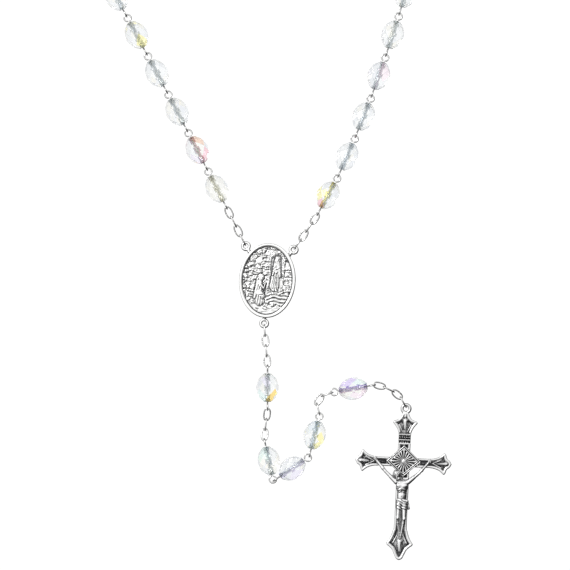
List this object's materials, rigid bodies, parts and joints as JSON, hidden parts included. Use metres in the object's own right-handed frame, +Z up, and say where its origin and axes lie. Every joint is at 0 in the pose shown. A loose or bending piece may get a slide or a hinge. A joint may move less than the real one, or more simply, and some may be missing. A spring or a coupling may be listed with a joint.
{
  "type": "rosary",
  "caption": "Glass bead rosary laid out flat: looped chain of faceted beads on wire pins, oval centrepiece with a relic case, pendant and crucifix.",
  "frame": {"origin": "middle of the relic case, on the surface that the rosary lies on, under the medal", "axes": "+Z up from the surface, +Y towards the loop, +X to the right seen from above"},
  "size_m": [0.1855, 0.395, 0.0065],
  "materials": {
    "crystal": "faceted, with an iridescent coating",
    "silver_wire": "polished silver plate",
    "bright_silver": "cast, polished rim, light grey recesses",
    "antique_silver": "cast, antiqued, near-black recesses",
    "lens": "clear and domed",
    "relic_cloth": "plain woven cloth"
  },
  "bodies": {
    "medal": {"medal": "bright_silver", "relic_bezel": "bright_silver", "relic_lens": "lens", "relic": "relic_cloth"},
    "drop_link_1": {"drop_link_1": "silver_wire"},
    "drop_link_2": {"drop_link_2": "silver_wire"},
    "drop_link_3": {"drop_link_3": "silver_wire"},
    "drop_link_4": {"drop_link_4": "silver_wire"},
    "pendant_pin_1": {"pendant_pin_1": "silver_wire"},
    "pendant_bead_1": {"pendant_bead_1": "crystal"},
    "middle_link_1": {"middle_link_1": "silver_wire"},
    "middle_link_2": {"middle_link_2": "silver_wire"},
    "middle_link_3": {"middle_link_3": "silver_wire"},
    "pendant_pin_2": {"pendant_pin_2": "silver_wire"},
    "pendant_bead_2": {"pendant_bead_2": "crystal"},
    "pendant_pin_3": {"pendant_pin_3": "silver_wire"},
    "pendant_bead_3": {"pendant_bead_3": "crystal"},
    "pendant_pin_4": {"pendant_pin_4": "silver_wire"},
    "pendant_bead_4": {"pendant_bead_4": "crystal"},
    "lower_link_1": {"lower_link_1": "silver_wire"},
    "lower_link_2": {"lower_link_2": "silver_wire"},
    "lower_link_3": {"lower_link_3": "silver_wire"},
    "pendant_pin_5": {"pendant_pin_5": "silver_wire"},
    "pendant_bead_5": {"pendant_bead_5": "crystal"},
    "crucifix_link_1": {"crucifix_link_1": "silver_wire"},
    "crucifix_link_2": {"crucifix_link_2": "silver_wire"},
    "crucifix_link_3": {"crucifix_link_3": "silver_wire"},
    "crucifix_link_4": {"crucifix_link_4": "silver_wire"},
    "crucifix": {"cross": "antique_silver", "corpus": "antique_silver"},
    "left_links": {"left_links": "silver_wire"},
    "left_run_1": {"left_run_1_pins": "silver_wire", "left_run_1_beads": "crystal"},
    "left_run_2": {"left_run_2_pins": "silver_wire", "left_run_2_beads": "crystal"},
    "left_father_1": {"left_father_1_wire": "silver_wire", "left_father_1_bead": "crystal"},
    "left_run_3": {"left_run_3_pins": "silver_wire", "left_run_3_beads": "crystal"},
    "left_run_4": {"left_run_4_pins": "silver_wire", "left_run_4_beads": "crystal"},
    "left_father_2": {"left_father_2_wire": "silver_wire", "left_father_2_bead": "crystal"},
    "left_run_5": {"left_run_5_pins": "silver_wire", "left_run_5_beads": "crystal"},
    "right_links": {"right_links": "silver_wire"},
    "right_run_1": {"right_run_1_pins": "silver_wire", "right_run_1_beads": "crystal"},
    "right_run_2": {"right_run_2_pins": "silver_wire", "right_run_2_beads": "crystal"},
    "right_father_1": {"right_father_1_wire": "silver_wire", "right_father_1_bead": "crystal"},
    "right_run_3": {"right_run_3_pins": "silver_wire", "right_run_3_beads": "crystal"},
    "right_run_4": {"right_run_4_pins": "silver_wire", "right_run_4_beads": "crystal"},
    "right_father_2": {"right_father_2_wire": "silver_wire", "right_father_2_bead": "crystal"},
    "right_run_5": {"right_run_5_pins": "silver_wire", "right_run_5_beads": "crystal"}
  },
  "joints": [
    {"name": "drop_link_1_lift", "type": "hinge", "parent": "medal", "child": "drop_link_1", "pos_m": [-0.00084, -0.01301, 0.00183], "axis": [-0.9976, -0.0698, 0], "range_deg": [-40, 40]},
    {"name": "drop_link_2_turn", "type": "hinge", "parent": "drop_link_1", "child": "drop_link_2", "pos_m": [-0.00065, -0.01567, 0.00219], "axis": [-0.0092, 0.1319, 0.9912], "range_deg": [-45, 40]},
    {"name": "drop_link_3_lift", "type": "hinge", "parent": "drop_link_2", "child": "drop_link_3", "pos_m": [-0.0004, -0.01852, 0.00257], "axis": [0.9962, 0.0872, 0], "range_deg": [-40, 40]},
    {"name": "drop_link_4_turn", "type": "hinge", "parent": "drop_link_3", "child": "drop_link_4", "pos_m": [-0.00015, -0.02136, 0.00295], "axis": [0.0115, -0.1317, -0.9912], "range_deg": [-40, 45]},
    {"name": "pendant_pin_1_lift", "type": "hinge", "parent": "drop_link_4", "child": "pendant_pin_1", "pos_m": [0.0001, -0.02421, 0.00333], "axis": [-0.9962, -0.0872, 0], "range_deg": [-40, 40]},
    {"name": "pendant_bead_1_spin", "type": "hinge", "parent": "pendant_pin_1", "child": "pendant_bead_1", "pos_m": [0.00005, -0.03003, 0.00326], "axis": [0, -1, 0], "continuous": true},
    {"name": "middle_link_1_turn", "type": "hinge", "parent": "pendant_pin_1", "child": "middle_link_1", "pos_m": [0.00005, -0.03636, 0.00326], "axis": [0, 0, 1], "range_deg": [-45, 35]},
    {"name": "middle_link_2_lift", "type": "hinge", "parent": "middle_link_1", "child": "middle_link_2", "pos_m": [-0.00029, -0.03916, 0.00266], "axis": [0.9925, -0.1219, 0], "range_deg": [-40, 40]},
    {"name": "middle_link_3_turn", "type": "hinge", "parent": "middle_link_2", "child": "middle_link_3", "pos_m": [-0.00064, -0.04203, 0.00277], "axis": [0, 0, -1], "range_deg": [-35, 45]},
    {"name": "pendant_pin_2_lift", "type": "hinge", "parent": "middle_link_3", "child": "pendant_pin_2", "pos_m": [-0.00094, -0.04483, 0.00337], "axis": [-0.9945, 0.1045, 0], "range_deg": [-40, 40]},
    {"name": "pendant_bead_2_spin", "type": "hinge", "parent": "pendant_pin_2", "child": "pendant_bead_2", "pos_m": [0.00043, -0.05052, 0.00326], "axis": [0.2079, -0.9781, 0], "continuous": true},
    {"name": "pendant_pin_3_turn", "type": "hinge", "parent": "pendant_pin_2", "child": "pendant_pin_3", "pos_m": [0.00164, -0.05621, 0.00326], "axis": [0, 0, 1], "range_deg": [-90, 0]},
    {"name": "pendant_bead_3_spin", "type": "hinge", "parent": "pendant_pin_3", "child": "pendant_bead_3", "pos_m": [0.00689, -0.05267, 0.00326], "axis": [0.829, 0.5592, 0], "continuous": true},
    {"name": "pendant_pin_4_lift", "type": "hinge", "parent": "pendant_pin_3", "child": "pendant_pin_4", "pos_m": [0.01214, -0.04912, 0.00326], "axis": [-0.5592, 0.829, 0], "range_deg": [-40, 40]},
    {"name": "pendant_bead_4_spin", "type": "hinge", "parent": "pendant_pin_4", "child": "pendant_bead_4", "pos_m": [0.01325, -0.04327, 0.00326], "axis": [0.2419, 0.9703, 0], "continuous": true},
    {"name": "lower_link_1_turn", "type": "hinge", "parent": "pendant_pin_4", "child": "lower_link_1", "pos_m": [0.01465, -0.03763, 0.00326], "axis": [0.0503, -0.2017, -0.9781], "range_deg": [-45, 15]},
    {"name": "lower_link_2_lift", "type": "hinge", "parent": "lower_link_1", "child": "lower_link_2", "pos_m": [0.01355, -0.03482, 0.00255], "axis": [0.8192, -0.5736, 0], "range_deg": [-40, 40]},
    {"name": "lower_link_3_turn", "type": "hinge", "parent": "lower_link_2", "child": "lower_link_3", "pos_m": [0.0152, -0.03247, 0.00255], "axis": [-0.1954, -0.0711, 0.9781], "range_deg": [-15, 45]},
    {"name": "pendant_pin_5_lift", "type": "hinge", "parent": "lower_link_3", "child": "pendant_pin_5", "pos_m": [0.01781, -0.03142, 0.00326], "axis": [-0.1736, 0.9848, 0], "range_deg": [-40, 40]},
    {"name": "pendant_bead_5_spin", "type": "hinge", "parent": "pendant_pin_5", "child": "pendant_bead_5", "pos_m": [0.02405, -0.03032, 0.00326], "axis": [0.9848, 0.1736, 0], "continuous": true},
    {"name": "crucifix_link_1_turn", "type": "hinge", "parent": "pendant_pin_5", "child": "crucifix_link_1", "pos_m": [0.03029, -0.02922, 0.00326], "axis": [0, 0, -1], "range_deg": [-45, 15]},
    {"name": "crucifix_link_2_lift", "type": "hinge", "parent": "crucifix_link_1", "child": "crucifix_link_2", "pos_m": [0.03303, -0.0299, 0.00269], "axis": [-0.2419, -0.9703, 0], "range_deg": [-40, 40]},
    {"name": "crucifix_link_3_turn", "type": "hinge", "parent": "crucifix_link_2", "child": "crucifix_link_3", "pos_m": [0.03553, -0.03124, 0.00213], "axis": [0.1763, -0.086, 0.9806], "range_deg": [-15, 45]},
    {"name": "crucifix_link_4_lift", "type": "hinge", "parent": "crucifix_link_3", "child": "crucifix_link_4", "pos_m": [0.0377, -0.03306, 0.00156], "axis": [0.6428, 0.766, 0], "range_deg": [-40, 40]},
    {"name": "crucifix_turn", "type": "hinge", "parent": "crucifix_link_4", "child": "crucifix", "pos_m": [0.03897, -0.03561, 0.001], "axis": [-0.0981, 0.1699, -0.9806], "range_deg": [-60, 15]},
    {"name": "left_links_lift", "type": "hinge", "parent": "medal", "child": "left_links", "pos_m": [-0.00645, 0.01051, 0.00183], "axis": [0.8946, 0.4468, 0], "range_deg": [-30, 30]},
    {"name": "left_run_1_turn", "type": "hinge", "parent": "left_links", "child": "left_run_1", "pos_m": [-0.01126, 0.02009, 0.00326], "axis": [0, 0, 1], "range_deg": [0, 40]},
    {"name": "left_run_2_lift", "type": "hinge", "parent": "left_run_1", "child": "left_run_2", "pos_m": [-0.03963, 0.0744, 0.00326], "axis": [-0.8829, -0.4695, 0], "range_deg": [-30, 30]},
    {"name": "left_father_1_turn", "type": "hinge", "parent": "left_run_2", "child": "left_father_1", "pos_m": [-0.06791, 0.12758, 0.00326], "axis": [-0.0976, 0.1836, 0.9781], "range_deg": [0, 40]},
    {"name": "left_run_3_lift", "type": "hinge", "parent": "left_father_1", "child": "left_run_3", "pos_m": [-0.08184, 0.15379, 0.00337], "axis": [0.8829, 0.4695, 0], "range_deg": [-30, 30]},
    {"name": "left_run_4_turn", "type": "hinge", "parent": "left_run_3", "child": "left_run_4", "pos_m": [-0.11013, 0.20698, 0.00326], "axis": [0, 0, 1], "range_deg": [0, 40]},
    {"name": "left_father_2_lift", "type": "hinge", "parent": "left_run_4", "child": "left_father_2", "pos_m": [-0.11131, 0.26665, 0.00326], "axis": [-0.9557, 0.2943, 0], "range_deg": [-30, 30]},
    {"name": "left_run_5_turn", "type": "hinge", "parent": "left_father_2", "child": "left_run_5", "pos_m": [-0.09583, 0.2906, 0.00326], "axis": [0, 0, 1], "range_deg": [0, 40]},
    {"name": "right_links_lift", "type": "hinge", "parent": "medal", "child": "right_links", "pos_m": [0.00794, 0.00943, 0.00183], "axis": [-0.8215, 0.5701, 0], "range_deg": [-30, 30]},
    {"name": "right_run_1_turn", "type": "hinge", "parent": "right_links", "child": "right_run_1", "pos_m": [0.01394, 0.01832, 0.00326], "axis": [0, 0, -1], "range_deg": [0, 40]},
    {"name": "right_run_2_lift", "type": "hinge", "parent": "right_run_1", "child": "right_run_2", "pos_m": [0.03706, 0.07492, 0.00326], "axis": [0.9514, -0.3079, 0], "range_deg": [-30, 30]},
    {"name": "right_father_1_turn", "type": "hinge", "parent": "right_run_2", "child": "right_father_1", "pos_m": [0.05219, 0.1332, 0.00326], "axis": [-0.0421, -0.2036, -0.9781], "range_deg": [0, 40]},
    {"name": "right_run_3_lift", "type": "hinge", "parent": "right_father_1", "child": "right_run_3", "pos_m": [0.05759, 0.16239, 0.00337], "axis": [-0.987, 0.1605, 0], "range_deg": [-30, 30]},
    {"name": "right_run_4_turn", "type": "hinge", "parent": "right_run_3", "child": "right_run_4", "pos_m": [0.06204, 0.22228, 0.00326], "axis": [0, 0, -1], "range_deg": [0, 40]},
    {"name": "right_father_2_lift", "type": "hinge", "parent": "right_run_4", "child": "right_father_2", "pos_m": [0.03757, 0.27754, 0.00326], "axis": [0.7973, 0.6036, 0], "range_deg": [-30, 30]},
    {"name": "right_run_5_turn", "type": "hinge", "parent": "right_father_2", "child": "right_run_5", "pos_m": [0.01614, 0.29645, 0.00326], "axis": [0, 0, -1], "range_deg": [0, 40]}
  ]
}
